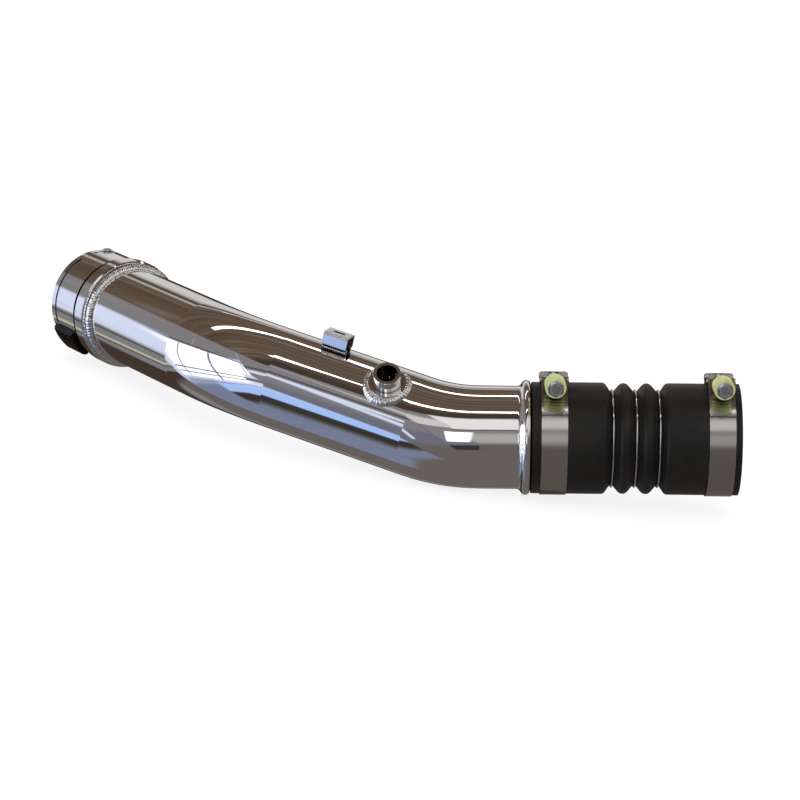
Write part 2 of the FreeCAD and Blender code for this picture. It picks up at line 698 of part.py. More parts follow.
def strap_outline():
    """The strap's line: over the hose, round the near bar, right round the hose, round the far bar, back."""
    lower = hose_surface() + size("fit_gap") + size("band_gauge") / 2
    upper = lower + size("band_gauge") + size("fit_gap") / 2
    loop = size("trunnion_radius") + size("fit_gap") + size("band_gauge") / 2
    near = V(-size("trunnion_offset"), size("bolt_height"), 0)
    far = V(size("trunnion_offset"), size("bolt_height"), 0)
    return [(V(), -upper), (near, -loop), (V(), lower), (far, -loop), (V(), -upper)]


def band_shape():
    sides, ends = [], []
    for shift in (-size("band_gauge") / 2, size("band_gauge") / 2):
        circles = [(centre, radius + shift) for centre, radius in strap_outline()]
        start = on_circle(V(), circles[0][1], 90 + size("band_foot"))
        end = on_circle(V(), circles[-1][1], 90 - size("band_foot"))
        sides += rounded_path(circles, start, end)
        ends.append((start, end))
    caps = [Part.LineSegment(ends[0][i], ends[1][i]).toShape() for i in (0, 1)]
    strap = closed_face(sides + caps).extrude(V(0, 0, size("band_width")))
    strap.translate(V(0, 0, -size("band_width") / 2))
    for room in (bolt_room(), barrel_room(), barrel_slot()):
        strap = strap.cut(room)
    return strap


def bolt_room():
    """Room for the shank between the cross bars."""
    half = size("bolt_radius") + size("bolt_gap")
    offset, low = size("trunnion_offset"), size("bolt_height") - half
    return Part.makeBox(2 * offset, 4 * half, 2 * half, V(-offset, low, -half))


def barrel_room():
    radius = size("barrel_radius") + size("bolt_gap")
    reach = size("barrel_reach") - size("trunnion_offset")
    return Part.makeCylinder(radius, reach, V(-size("trunnion_offset"), size("bolt_height"), 0), V(-1, 0, 0))


def barrel_slot():
    """A slot for the barrel in the strand that comes back over the near bar, and not in the one below."""
    half = size("barrel_radius") + size("slot_gap")
    near, height = -size("trunnion_offset"), size("bolt_height")
    reach, drop = near - size("slot_reach"), height - size("slot_drop")
    corners = [V(near, height, 0), V(near, height + 12, 0), V(reach, height + 12, 0), V(reach, drop, 0)]
    slot = Part.Face(Part.makePolygon(corners + corners[:1])).extrude(V(0, 0, 2 * half))
    slot.translate(V(0, 0, -half))
    return slot


def curved_plate(outer, inner, width, half_angle):
    """A plate bent to the hose, centred on the bolt's foot."""
    plate = Part.makeCylinder(outer, width, V(), V(0, 0, 1), 2 * half_angle)
    plate.rotate(V(), V(0, 0, 1), 90 - half_angle)
    plate = plate.cut(Part.makeCylinder(inner, width))
    plate.translate(V(0, 0, -width / 2))
    return plate


def bridge_shape():
    outer = hose_surface()
    return curved_plate(outer, outer - size("band_gauge"), size("band_width"), size("bridge_span"))


def bridge_print(place):
    """What the bridge takes out of the hose, a snug gap larger all round."""
    gap = size("fit_gap")
    inner = hose_surface() - size("band_gauge") - gap
    angle = size("bridge_span") + math.degrees(gap / inner)
    room = curved_plate(hose_surface() + 1, inner, size("band_width") + 2 * gap, angle)
    room.Placement = across_hose(place).multiply(room.Placement)
    return room


def spring_shape():
    """Coil spring with ground ends, along the bolt from the seat to the washer."""
    wire = size("spring_wire") / 2
    length = spring_length()
    radius = size("spring_radius") - wire
    pitch = length / size("spring_turns")
    helix = Part.makeHelix(pitch, length + pitch, radius)
    profile = Part.Wire(Part.makeCircle(wire, V(radius, 0, 0), V(0, 1, 0)).Edges)
    coil = Part.Wire(helix.Edges).makePipeShell([profile], True, True)
    coil.translate(V(0, 0, -pitch / 2))
    spring = coil.common(Part.makeCylinder(size("spring_radius") + 1, length))
    spring.Placement = bolt_place(size("barrel_reach"))
    return spring


def spring_length():
    return nut_reach() - size("washer_thickness") - size("barrel_reach")


def nut_reach():
    """Bolt's foot to the nut's inner face."""
    return size("bolt_reach") - size("bolt_proud") - size("nut_height") - size("nut_collar_height")


def bolt_place(reach):
    """A place on the bolt's axis whose own Z points to the threaded end."""
    return Place(V(0, -reach, size("bolt_height")), Turn(V(1, 0, 0), 90))


def round_bar(name, reach, radius, height):
    return primitive("Part::Cylinder", name, bolt_place(reach), Radius=radius, Height=height)


def cross_bar(name, side):
    width = size("band_width") / 2 + size("trunnion_proud")
    place = Place(V(-width, side * size("trunnion_offset"), size("bolt_height")), Turn(V(0, 1, 0), 90))
    return primitive("Part::Cylinder", name, place, Radius="Sizes.trunnion_radius",
                     Height="Sizes.band_width + 2 * Sizes.trunnion_proud")


def lock_nut(letter):
    """A hexagon with bevelled corners and a round collar that holds the insert."""
    whole = "Sizes.nut_height + Sizes.nut_collar_height"
    prism = primitive("Part::Prism", f"NutHexagon{letter}", Place(V(), Turn(V(0, 0, 1), 90)),
                      Circumradius="Sizes.nut_flats / 2 / cos(30)", Height="Sizes.nut_height")
    cone = primitive("Part::Cone", f"NutBevel{letter}", Height="Sizes.nut_height",
                     Radius1="Sizes.nut_flats * 0.52 + Sizes.nut_height * tan(60)",
                     Radius2="Sizes.nut_flats * 0.52")
    hexagon = doc.addObject("Part::MultiCommon", f"NutBevelled{letter}")
    hexagon.Shapes = [prism, cone]
    ring = primitive("Part::Cylinder", f"NutCollar{letter}", Radius="Sizes.nut_collar_radius", Height=whole)
    solid = join("Part::MultiFuse", f"NutSolid{letter}", [hexagon, ring])
    bore = primitive("Part::Cylinder", f"NutBore{letter}", Height=whole,
                     Radius="Sizes.bolt_radius + Sizes.fit_gap")
    pocket = primitive("Part::Cylinder", f"NutPocket{letter}", Radius="Sizes.insert_radius",
                       Height="Sizes.insert_height")
    pocket.setExpression("Placement.Base.z", f"{whole} - Sizes.insert_height")
    tool = join("Part::MultiFuse", f"NutTool{letter}", [bore, pocket])
    return join("Part::Cut", f"Nut{letter}", [solid, tool])


def nylon_insert(letter):
    ring = primitive("Part::Cylinder", f"InsertDisc{letter}", Radius="Sizes.insert_radius - Sizes.fit_gap",
                     Height="Sizes.insert_height")
    hole = primitive("Part::Cylinder", f"InsertHole{letter}", Radius="Sizes.bolt_radius + Sizes.fit_gap",
                     Height="Sizes.insert_height")
    return join("Part::Cut", f"Insert{letter}", [ring, hole])


def t_bolt(letter):
    head = cross_bar(f"BoltHead{letter}", 1)
    shank = round_bar(f"BoltShank{letter}", -size("trunnion_offset"), "Sizes.bolt_radius",
                      "Sizes.bolt_reach + Sizes.trunnion_offset")
    return join("Part::MultiFuse", f"TBolt{letter}", [head, shank])


def trunnion(letter):
    bar = cross_bar(f"NearBar{letter}", -1)
    barrel = round_bar(f"Barrel{letter}", size("trunnion_offset"), "Sizes.barrel_radius",
                       "Sizes.barrel_reach - Sizes.trunnion_offset")
    seat = round_bar(f"Seat{letter}", size("barrel_reach") - size("seat_thickness"), "Sizes.seat_radius",
                     "Sizes.seat_thickness")
    solid = join("Part::MultiFuse", f"TrunnionSolid{letter}", [bar, barrel, seat])
    hole = round_bar(f"TrunnionHole{letter}", 0, "Sizes.bolt_radius + Sizes.fit_gap", "Sizes.bolt_reach")
    return join("Part::Cut", f"Trunnion{letter}", [solid, hole])


def washer(letter):
    disc = round_bar(f"WasherDisc{letter}", nut_reach() - size("washer_thickness"), "Sizes.spring_radius",
                     "Sizes.washer_thickness")
    hole = round_bar(f"WasherHole{letter}", 0, "Sizes.bolt_radius + Sizes.fit_gap", "Sizes.bolt_reach")
    return join("Part::Cut", f"Washer{letter}", [disc, hole])


def clamp(letter, own_place):
    name = f"clamp_{letter.lower()}_"
    place = at_hose.multiply(own_place)
    on_nut = place.multiply(bolt_place(nut_reach()))
    pocket = size("nut_height") + size("nut_collar_height") - size("insert_height")
    keep(shaped(f"Band{letter}", band_shape()), name + "band", across_hose(place))
    keep(shaped(f"Bridge{letter}", bridge_shape()), name + "bridge", across_hose(place))
    keep(t_bolt(letter), name + "t_bolt", place)
    keep(trunnion(letter), name + "trunnion", place)
    keep(shaped(f"Spring{letter}", spring_shape()), name + "spring", place)
    keep(washer(letter), name + "washer", place)
    keep(lock_nut(letter), name + "lock_nut", on_nut)
    keep(nylon_insert(letter), name + "nylon_insert", forward(on_nut, pocket))


charge_pipe()
collar()
collar_weld()
seal_ring()
retaining_clip()
clip_lock()
bung()
bung_weld()
bracket()
hump_hose()
for letter, own_place in zip("AB", clamp_places()):
    clamp(letter, own_place)
doc.recompute()


def check():
    """Stops the build where an object failed or a sub-part isn't one sound shape."""
    for item in doc.Objects:
        if "Invalid" in item.State or "Error" in item.State:
            raise RuntimeError(f"{item.Name} failed: {item.State}")
    for item in nodes:
        if item.Shape.isNull() or not item.Shape.isValid():
            raise RuntimeError(f"{item.Label} has no valid shape")


check()
os.makedirs("parts", exist_ok=True)
for item in nodes:
    item.Shape.exportStep(f"parts/{item.Label}.step")
    box = item.Shape.BoundBox
    print(item.Label, "solids", len(item.Shape.Solids), "volume", round(item.Shape.Volume, 1),
          "low", [round(v, 1) for v in (box.XMin, box.YMin, box.ZMin)],
          "high", [round(v, 1) for v in (box.XMax, box.YMax, box.ZMax)])
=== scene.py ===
import math

import bpy
from mathutils import Matrix, Vector


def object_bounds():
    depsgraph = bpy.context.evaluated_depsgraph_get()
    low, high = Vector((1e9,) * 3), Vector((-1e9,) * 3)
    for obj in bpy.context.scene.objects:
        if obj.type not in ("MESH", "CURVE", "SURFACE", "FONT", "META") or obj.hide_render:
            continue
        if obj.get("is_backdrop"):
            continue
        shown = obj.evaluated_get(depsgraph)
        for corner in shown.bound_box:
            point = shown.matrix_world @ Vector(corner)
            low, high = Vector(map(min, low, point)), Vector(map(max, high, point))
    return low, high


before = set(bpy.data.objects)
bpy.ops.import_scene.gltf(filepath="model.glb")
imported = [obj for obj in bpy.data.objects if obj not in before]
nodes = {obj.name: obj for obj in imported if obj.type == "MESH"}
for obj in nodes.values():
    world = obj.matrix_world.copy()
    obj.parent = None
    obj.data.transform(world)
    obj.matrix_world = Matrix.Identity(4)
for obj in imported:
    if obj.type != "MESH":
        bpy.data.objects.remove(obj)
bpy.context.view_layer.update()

# Directions of the lying pipe, taken from where it rests
HOSE_AXIS = Vector((0.994986, 0.0, 0.100014))
COLLAR_AXIS = Vector((-0.554397, 0.829497, -0.067673))
COLLAR_EDGE = Vector((-0.469207, 0.196840, -0.011309))
BUNG_AXIS = Vector((-0.095077, -0.563493, 0.820631))


# Small helpers for node trees
class Tree:
    """A node tree of a material or of the world, with short calls for the nodes in use."""

    def __init__(self, tree):
        self.tree = tree
        tree.nodes.clear()

    def node(self, kind, **values):
        item = self.tree.nodes.new(kind)
        for name, value in values.items():
            setattr(item, name, value)
        return item

    def link(self, source, target):
        self.tree.links.new(source, target)

    def put(self, socket, value):
        if isinstance(value, bpy.types.NodeSocket):
            self.link(value, socket)
        else:
            socket.default_value = value

    def math(self, operation, *values, clamp=False):
        item = self.node("ShaderNodeMath", operation=operation, use_clamp=clamp)
        for socket, value in zip(item.inputs, values):
            self.put(socket, value)
        return item.outputs[0]

    def dot(self, vector, direction):
        item = self.node("ShaderNodeVectorMath", operation="DOT_PRODUCT")
        self.link(vector, item.inputs[0])
        item.inputs[1].default_value = direction
        return item.outputs["Value"]

    def pack(self, x, y, z):
        item = self.node("ShaderNodeCombineXYZ")
        for socket, value in zip(item.inputs, (x, y, z)):
            self.put(socket, value)
        return item.outputs[0]

    def mix(self, factor, first, second):
        item = self.node("ShaderNodeMix", data_type="RGBA")
        self.put(item.inputs[0], factor)
        self.put(item.inputs[6], first)
        self.put(item.inputs[7], second)
        return item.outputs[2]

    def ramp(self, factor, stops):
        item = self.node("ShaderNodeValToRGB")
        ramp = item.color_ramp
        while len(ramp.elements) < len(stops):
            ramp.elements.new(1.0)
        for element, (place, colour) in zip(ramp.elements, stops):
            element.position = place
            element.color = colour
        self.put(item.inputs[0], factor)
        return item.outputs[0]

    def step(self, value, start, end):
        """0 below start, 1 above end, smooth between."""
        item = self.node("ShaderNodeMapRange", interpolation_type="SMOOTHSTEP")
        self.put(item.inputs[0], value)
        item.inputs[1].default_value = start
        item.inputs[2].default_value = end
        return item.outputs[0]

    def within(self, value, low, high, soft):
        """1 between low and high, 0 outside, with soft edges."""
        rise = self.step(value, low - soft, low + soft)
        fall = self.step(value, high - soft, high + soft)
        return self.math("SUBTRACT", rise, fall, clamp=True)

    def both(self, *masks):
        result = masks[0]
        for mask in masks[1:]:
            result = self.math("MULTIPLY", result, mask)
        return result

    def noise(self, vector, scale, detail=3.0, roughness=0.5):
        item = self.node("ShaderNodeTexNoise")
        self.link(vector, item.inputs["Vector"])
        item.inputs["Scale"].default_value = scale
        item.inputs["Detail"].default_value = detail
        item.inputs["Roughness"].default_value = roughness
        return item.outputs["Fac"]

    def position(self):
        return self.node("ShaderNodeTexCoord").outputs["Object"]

    def across(self, axis, coarse, fine):
        """A position stretched so that noise in it runs in lines square to the axis."""
        place = self.position()
        along = self.dot(place, axis)
        scaled = self.node("ShaderNodeVectorMath", operation="SCALE")
        self.link(place, scaled.inputs[0])
        scaled.inputs["Scale"].default_value = coarse
        line = self.node("ShaderNodeVectorMath", operation="SCALE")
        line.inputs[0].default_value = axis
        self.link(self.math("MULTIPLY", along, fine), line.inputs["Scale"])
        total = self.node("ShaderNodeVectorMath", operation="ADD")
        self.link(scaled.outputs[0], total.inputs[0])
        self.link(line.outputs[0], total.inputs[1])
        return total.outputs[0]

    def open_sky(self, distance):
        """1 on an open surface, towards 0 deep in a recess narrower than the distance."""
        item = self.node("ShaderNodeAmbientOcclusion", samples=12)
        item.inputs["Distance"].default_value = distance
        return item.outputs["AO"]

    def around(self, base, spread, factor):
        """A value that wavers about a base as a factor goes from 0 to 1."""
        return self.math("ADD", base, self.math("MULTIPLY", self.math("SUBTRACT", factor, 0.5), spread))

    def bump(self, height, strength, distance, normal=None):
        item = self.node("ShaderNodeBump")
        item.inputs["Strength"].default_value = strength
        item.inputs["Distance"].default_value = distance
        self.link(height, item.inputs["Height"])
        if normal is not None:
            self.link(normal, item.inputs["Normal"])
        return item.outputs[0]


def tone(red, green, blue, gain=1.0):
    """A colour as it is seen, 0 to 255, turned into light."""
    light = []
    for value in (red, green, blue):
        part = value / 255
        light.append(gain * (part / 12.92 if part <= 0.04045 else ((part + 0.055) / 1.055) ** 2.4))
    return (*light, 1.0)


def material(name):
    item = bpy.data.materials.new(name)
    item.use_nodes = True
    tree = Tree(item.node_tree)
    shader = tree.node("ShaderNodeBsdfPrincipled")
    output = tree.node("ShaderNodeOutputMaterial")
    tree.link(shader.outputs[0], output.inputs[0])
    return item, tree, shader


def dress(names, item):
    for name in names:
        piece = nodes[name]
        piece.data.materials.clear()
        piece.data.materials.append(item)


def painted_groove_shade_mask(tree, start, end, radius):
    """1 where the collar's surface lies under a radius, between two places along it: the mask for the painted
    shade in the collar's groove.
    """
    place = tree.node("ShaderNodeVectorMath", operation="SUBTRACT")
    tree.link(tree.position(), place.inputs[0])
    place.inputs[1].default_value = COLLAR_EDGE
    along = tree.dot(place.outputs[0], COLLAR_AXIS)
    sideways = tree.node("ShaderNodeVectorMath", operation="CROSS_PRODUCT")
    tree.link(place.outputs[0], sideways.inputs[0])
    sideways.inputs[1].default_value = COLLAR_AXIS
    distance = tree.node("ShaderNodeVectorMath", operation="LENGTH")
    tree.link(sideways.outputs[0], distance.inputs[0])
    under = tree.math("SUBTRACT", 1.0, tree.step(distance.outputs["Value"], radius - 0.0003, radius))
    return tree.both(under, tree.within(along, start, end, 0.0002))


# Metals
# Painted shade that darkens recesses and the gaps between parts
PAINTED_RECESS_SHADE = (0.05, 0.045, 0.04, 1)
SPECK = (0.10, 0.10, 0.11, 1)
# Painted shade for the collar's groove
PAINTED_GROOVE_SHADE = (0.02, 0.018, 0.016, 1)
SPECK_SCALE = 900
LINE_DEPTH = 0.00005


def metal(name, colour, darker, roughness, spread, scale, bump, lines=None, specks=0.0,
          deep=(0.004, 0.15, 0.62), metallic=1.0, groove=None):
    """A metal with faint patches of tone, painted shade in recesses and in the collar's groove, and a fine
    uneven surface.

    bump is (strength, distance). lines, for turned or drawn metal, is (axis, lines in a metre, strength).
    specks is the share of the surface that has dark specks. deep is how far off a wall may stand to cast
    painted shade on the surface, and how shut in and how open a place is where that painted shade is darkest
    and where it is plain. groove is the start and end of the collar's groove and the radius under which it
    lies; there it gets painted shade.
    """
    item, tree, shader = material(name)
    shader.inputs["Metallic"].default_value = metallic
    position = tree.position()
    patches = tree.noise(position, scale * 0.12, 2.0)
    fine = tree.noise(position, scale, 4.0, 0.6)
    base = tree.mix(tree.step(patches, 0.35, 0.7), (*colour, 1), (*darker, 1))
    if specks:
        spots = tree.noise(position, SPECK_SCALE, 2.0, 0.5)
        base = tree.mix(tree.step(spots, 0.72 - specks, 0.78 - specks), base, SPECK)
    distance, shut, plain = deep
    # Painted shade: where ambient occlusion finds walls close by, the colour darkens towards a near black
    base = tree.mix(tree.step(tree.open_sky(distance), shut, plain), PAINTED_RECESS_SHADE, base)
    if groove:
        # Painted shade: the collar's surface inside its groove is darkened by its place
        base = tree.mix(painted_groove_shade_mask(tree, *groove), base, PAINTED_GROOVE_SHADE)
    tree.link(base, shader.inputs["Base Color"])
    rough = tree.around(roughness, spread, fine)
    normal = tree.bump(fine, *bump)
    if lines:
        axis, count, strength = lines
        drawn = tree.noise(tree.across(axis, 6.0, count), 1.0, 2.0, 0.7)
        normal = tree.bump(drawn, strength, LINE_DEPTH, normal)
        rough = tree.around(rough, spread, drawn)
    tree.link(rough, shader.inputs["Roughness"])
    tree.link(normal, shader.inputs["Normal"])
    return item


dress(["charge_pipe"],
      metal("polished_tube", (0.94, 0.94, 0.94), (0.91, 0.91, 0.915), 0.03, 0.02, 40, (0.01, 0.0001)))
# The machined collar carries painted shade in its groove
dress(["quick_connect_collar"],
      metal("machined_collar", (0.93, 0.93, 0.93), (0.90, 0.90, 0.905), 0.05, 0.03, 60, (0.01, 0.0001),
            (COLLAR_AXIS, 4000, 0.03), groove=(0.012, 0.019, 0.0414)))
dress(["collar_weld_bead", "bung_weld_bead", "bracket_weld_beads"],
      metal("weld", (0.98, 0.98, 0.98), (0.90, 0.90, 0.92), 0.16, 0.12, 700, (0.4, 0.0005),
            specks=0.10, deep=(0.0015, 0.1, 0.5)))
# The bung's wider painted shade darkens its bore to near black
dress(["sensor_bung"],
      metal("turned_bung", (0.93, 0.92, 0.91), (0.89, 0.88, 0.87), 0.04, 0.03, 120, (0.01, 0.0001),
            (BUNG_AXIS, 5000, 0.008), deep=(0.015, 0.30, 0.80)))
# Wider painted shade darkens the bracket's recesses
dress(["mounting_bracket"],
      metal("bracket_sheet", (0.80, 0.81, 0.84), (0.76, 0.77, 0.80), 0.16, 0.05, 160, (0.008, 0.0001),
            deep=(0.012, 0.40, 0.86), metallic=0.88))
dress(["retaining_clip"],
      metal("clip_wire", (0.80, 0.80, 0.81), (0.66, 0.66, 0.67), 0.12, 0.08, 300, (0.05, 0.0001)))
dress(["hose_ring_1", "hose_ring_2", "hose_ring_3"],
      metal("ring_wire", (0.92, 0.92, 0.92), (0.84, 0.84, 0.84), 0.10, 0.06, 300, (0.05, 0.0001)))
for letter in "ab":
    part = f"clamp_{letter}_"
    # Wider painted shade darkens the bands under the bolt and spring
    dress([part + "band", part + "bridge"],
          metal("band_steel_" + letter, (0.66, 0.64, 0.61), (0.60, 0.58, 0.56), 0.20, 0.05, 60,
                (0.01, 0.0001), (HOSE_AXIS, 3000, 0.04), deep=(0.016, 0.42, 0.90)))
    dress([part + "t_bolt"],
          metal("bolt_steel_" + letter, (0.66, 0.68, 0.72), (0.55, 0.57, 0.60), 0.22, 0.1, 300,
                (0.1, 0.0001)))
    dress([part + "trunnion"],
          metal("trunnion_steel_" + letter, (0.74, 0.73, 0.71), (0.66, 0.65, 0.63), 0.16, 0.08, 200,
                (0.03, 0.0001)))
    dress([part + "spring", part + "washer"],
          metal("plated_spring_" + letter, (0.80, 0.87, 0.40), (0.72, 0.80, 0.34), 0.26, 0.1, 250,
                (0.05, 0.0001), metallic=0.45))
    dress([part + "lock_nut"],
          metal("nut_steel_" + letter, (0.66, 0.70, 0.78), (0.58, 0.62, 0.69), 0.18, 0.08, 300,
                (0.05, 0.0001)))


# Rubber and plastics
def dull(name, colour, second, roughness, spread, scale, bump, specular=0.5):
    """A dull surface with a fine grain, slow patches of tone and a little unevenness in its sheen.

    bump is (strength, distance).
    """
    item, tree, shader = material(name)
    position = tree.position()
    fine = tree.noise(position, scale, 5.0, 0.6)
    patches = tree.noise(position, scale * 0.03, 3.0)
    grain = tree.math("ADD", tree.math("MULTIPLY", patches, 0.6), tree.math("MULTIPLY", fine, 0.4))
    tree.link(tree.mix(tree.step(grain, 0.4, 0.62), (*colour, 1), (*second, 1)), shader.inputs["Base Color"])
    tree.link(tree.around(roughness, spread, fine), shader.inputs["Roughness"])
    tree.link(tree.bump(fine, *bump), shader.inputs["Normal"])
    shader.inputs["Specular IOR Level"].default_value = specular
    return item


dress(["hump_hose"],
      dull("hose_rubber", (0.005, 0.005, 0.005), (0.010, 0.009, 0.0075), 0.40, 0.2, 900, (0.6, 0.0003), 0.32))
dress(["collar_seal_ring"],
      dull("seal_rubber", (0.010, 0.010, 0.010), (0.014, 0.014, 0.014), 0.50, 0.20, 900, (0.2, 0.0001)))
dress(["clip_lock"],
      dull("black_plastic", (0.0015, 0.0015, 0.0015), (0.003, 0.003, 0.003), 0.30, 0.12, 1200,
           (0.2, 0.0001), 0.12))
for letter in "ab":
    dress([f"clamp_{letter}_nylon_insert"],
          dull("nylon_" + letter, (0.15, 0.16, 0.20), (0.12, 0.13, 0.16), 0.4, 0.1, 600, (0.1, 0.0001)))


# The room that the polished metal mirrors: its own up, east and north
ROOM_UP = Vector((-0.302, 0.352, 0.886))
ROOM_EAST = Vector((0.953, 0.1115, 0.281))
ROOM_NORTH = Vector((0.0, 0.929, -0.369))

# Tones of the room's surfaces
FLOOR = tone(104, 98, 94)
COOL_FLOOR = tone(120, 128, 152)
WOOD = tone(66, 55, 47)
PALE_WOOD = tone(104, 87, 73)
BOARD = tone(56, 53, 51)
SKY = tone(168, 196, 250)
HAZE = tone(216, 224, 248)
GREY = tone(130, 127, 130)
COOL_GREY = tone(110, 112, 126)
PALE = tone(206, 204, 201)
LIGHT = tone(230, 229, 228)
WARM = tone(172, 169, 163)
STONE = tone(186, 190, 160)
RAIL = tone(84, 78, 73)
PANE = tone(255, 255, 255, 1.3)

# Walls, in degrees: where each begins and ends round the room and how soft its sides are, what it has
# lowest, and then, from below upwards, where each next surface begins, how soft, and its tone
WALLS = (
    ((14, 122, 6), FLOOR, ((-5, 9, PALE), (38, 9, GREY))),
    ((-139, -120, 2), FLOOR, ((-13, 3, WOOD), (-6.6, 0.6, GREY), (9, 1.5, HAZE), (31, 3, GREY))),
    ((-121, -88, 2), FLOOR, ((-52, 3, COOL_FLOOR), (-13, 7, HAZE), (30, 2, GREY))),
    ((-88, -46, 2), FLOOR, ((-49, 5, COOL_FLOOR), (-36, 3, RAIL), (-32.5, 1, BOARD), (-24, 1.2, SKY),
                            (-12, 4, HAZE), (28, 1.5, GREY))),
    ((-46, -22, 1), FLOOR, ((-23, 6, COOL_GREY), (0, 5, GREY))),
    ((-22, -8.5, 1), FLOOR, ((-31, 1.5, BOARD), (-21, 1.2, COOL_GREY), (-10, 5, GREY), (14.8, 0.6, PALE),
                             (28, 3, GREY))),
    ((-8.5, 14, 1), FLOOR, ((-17, 5, WARM), (4, 4, GREY), (12.7, 0.7, LIGHT), (35.5, 1.5, GREY))),
)
BACK_WALL = FLOOR, ((-22, 3, GREY), (-13, 2, WOOD), (23, 2, PALE), (42, 5, GREY))

# The window, by height over distance and by place along the wall over distance
WINDOW_HEIGHT = (-0.17, 0.575, 0.012)
WINDOW_WIDTH = (-0.966, 0.47, 0.015)
WINDOW_BARS = ((-0.86, 0.012), (-0.25, 0.018), (0.28, 0.012))
BAR_LEAN = 0.12
BAR_SOFT = 0.008
WINDOW_RAILS = (
    (0.205, 0.222, HAZE),
    (-0.012, 0.014, COOL_GREY),
    (-0.10, -0.078, COOL_FLOOR),
    (-0.252, -0.236, COOL_FLOOR),
    (0.605, 0.650, RAIL),
)

# Smaller things on the walls, in degrees: west and east side, lower and upper edge, lean, tone
THINGS = (
    (-53.0, -45.5, -9.0, 5.5, 0.0, HAZE),
    (-54.0, -45.0, -4.0, 0.5, 0.0, COOL_GREY),
    (-46.0, -28.0, 10.2, 14.6, 0.0, HAZE),
    (-46.0, -22.0, 17.5, 20.5, 0.0, RAIL),
    (-35.4, -33.6, -16.0, 12.0, 0.25, HAZE),
    (-15.8, -5.5, -14.0, 6.5, 0.30, PANE),
    (-8.5, 14.0, 10.6, 12.4, 0.0, RAIL),
    (-140.0, -120.0, -2.0, -0.2, 0.0, STONE),
    (-140.0, -120.0, -3.2, -2.2, 0.0, RAIL),
    (-140.0, -120.0, 5.0, 6.6, 0.0, RAIL),
)

# Strip lights on the ceiling, by distance over height: start and end along it, place across it, lean, half
# width and brightness
STRIPS = (
    (-0.36, 0.55, 0.130, 0.30, 0.035, 3.0),
    (-0.22, 0.60, -0.780, 0.05, 0.050, 3.0),
    (0.10, 0.50, 0.740, 0.50, 0.018, 0.8),
    (1.00, 2.40, 0.050, 0.00, 0.040, 3.0),
    (1.00, 2.40, -0.800, 0.00, 0.040, 3.0),
)


# The ceiling, by distance over height: its start, end and softness, its front and back edges, how its front
# edge leans, where it is dim and where a paler board crosses it; and how high the direction has to point
CEILING_ALONG = (-0.80, 6.0, 0.04)
CEILING_FRONT = (-1.37, -1.29)
CEILING_BACK = (1.00, 1.08)
FRONT_LEAN = 0.19
CEILING_DIM = (-1.10, -0.80)
PALE_BOARD = (0.81, 0.89, 0.02)
CEILING_LOW = (0.05, 0.10)


def stacked(tree, elevation, lowest, surfaces):
    """Surfaces one above the other."""
    colour = lowest
    for height, soft, shade in surfaces:
        colour = tree.mix(tree.step(elevation, height - soft, height + soft), colour, shade)
    return colour


def room_walls(tree, azimuth, elevation):
    """The floor and the walls round the room, each a few plain surfaces."""
    colour = stacked(tree, elevation, *BACK_WALL)
    for (start, end, soft), lowest, surfaces in WALLS:
        side = tree.within(azimuth, start, end, soft)
        colour = tree.mix(side, colour, stacked(tree, elevation, lowest, surfaces))
    return colour


def windows(tree, colour, up, east, north):
    """The windows in the left wall, with their bars and rails."""
    away = tree.math("MAXIMUM", tree.math("MULTIPLY", east, -1.0), 0.02)
    sill = tree.math("DIVIDE", up, away)
    pane = tree.math("DIVIDE", north, away)
    wall = tree.within(pane, *WINDOW_WIDTH)
    window = tree.both(tree.within(sill, *WINDOW_HEIGHT), wall)
    colour = tree.mix(window, colour, PANE)
    leaning = tree.math("ADD", pane, tree.math("MULTIPLY", sill, BAR_LEAN))
    for place, half in WINDOW_BARS:
        bar = tree.within(leaning, place - half, place + half, BAR_SOFT)
        colour = tree.mix(tree.both(bar, window), colour, COOL_FLOOR)
    for low, high, shade in WINDOW_RAILS:
        rail = tree.within(sill, low, high, BAR_SOFT)
        colour = tree.mix(tree.both(rail, wall), colour, shade)
    return colour


def small_things(tree, colour, azimuth, elevation):
    """Smaller patches on the walls: frames, ledges, rails and the pane of a door."""
    for west, east_end, low, high, lean, shade in THINGS:
        turn = tree.math("SUBTRACT", azimuth, tree.math("MULTIPLY", elevation, lean))
        patch = tree.both(tree.within(turn, west, east_end, 0.5), tree.within(elevation, low, high, 0.6))
        colour = tree.mix(patch, colour, shade)
    return colour


def ceiling(tree, colour, up, east, north):
    """The brown ceiling with drawn-out streaks, darker at its front edge, and its strip lights."""
    height = tree.math("MAXIMUM", up, 0.05)
    along = tree.math("DIVIDE", east, height)
    across = tree.math("DIVIDE", north, height)
    front_edge = tree.math("SUBTRACT", across, tree.math("MULTIPLY", along, FRONT_LEAN))
    drawn_out = tree.pack(tree.math("MULTIPLY", along, 0.5), tree.math("MULTIPLY", across, 9.0), 0.0)
    streak = tree.noise(drawn_out, 1.0, 4.0, 0.7)
    brown = tree.ramp(streak, ((0.30, WOOD), (0.56, PALE_WOOD), (0.78, GREY)))
    dim = tree.math("SUBTRACT", 1.0, tree.step(front_edge, *CEILING_DIM))
    brown = tree.mix(dim, brown, WOOD)
    brown = tree.mix(tree.within(across, *PALE_BOARD), brown, WARM)
    inside = tree.both(tree.within(along, *CEILING_ALONG), tree.step(front_edge, *CEILING_FRONT),
                       tree.math("SUBTRACT", 1.0, tree.step(across, *CEILING_BACK)),
                       tree.step(up, *CEILING_LOW))
    colour = tree.mix(inside, colour, brown)
    for start, end, place, lean, half, gain in STRIPS:
        line = tree.math("SUBTRACT", across, tree.math("MULTIPLY", along, lean))
        strip = tree.both(tree.within(line, place - half, place + half, 0.008),
                          tree.within(along, start, end, 0.02))
        colour = tree.mix(tree.both(strip, inside), colour, (gain, gain, gain, 1))
    return colour


